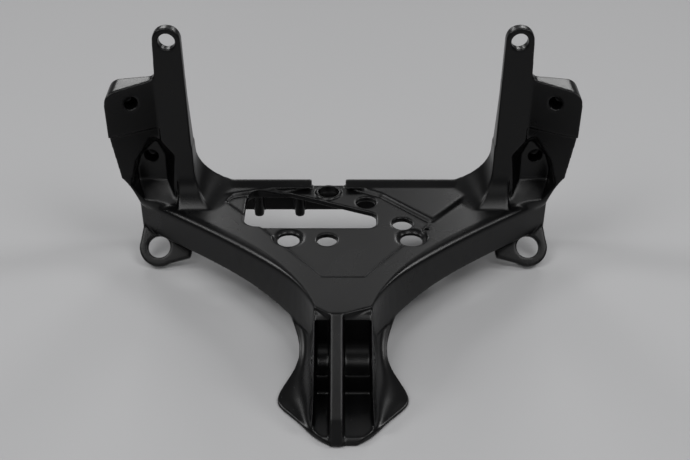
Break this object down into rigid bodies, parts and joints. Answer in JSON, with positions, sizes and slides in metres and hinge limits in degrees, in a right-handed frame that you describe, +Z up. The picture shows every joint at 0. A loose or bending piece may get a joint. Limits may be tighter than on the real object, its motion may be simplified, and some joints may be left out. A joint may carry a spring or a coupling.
{
  "type": "fairing stay",
  "caption": "Cast Y-shaped motorcycle fairing stay: forked foot, hollow deck with wiring window and grommet holes, uprights with mirror wings and lugs; carries fairing, mirrors and instruments.",
  "frame": {"origin": "on the surface it stands on, under the middle of its length and width", "axes": "+X to the right across the arms, +Y from the forked foot towards the uprights, +Z up from the deck"},
  "size_m": [0.296, 0.203, 0.1685],
  "materials": {
    "black_paint": "satin"
  },
  "bodies": {
    "root": {"fairing_stay": "black_paint"}
  },
  "joints": []
}
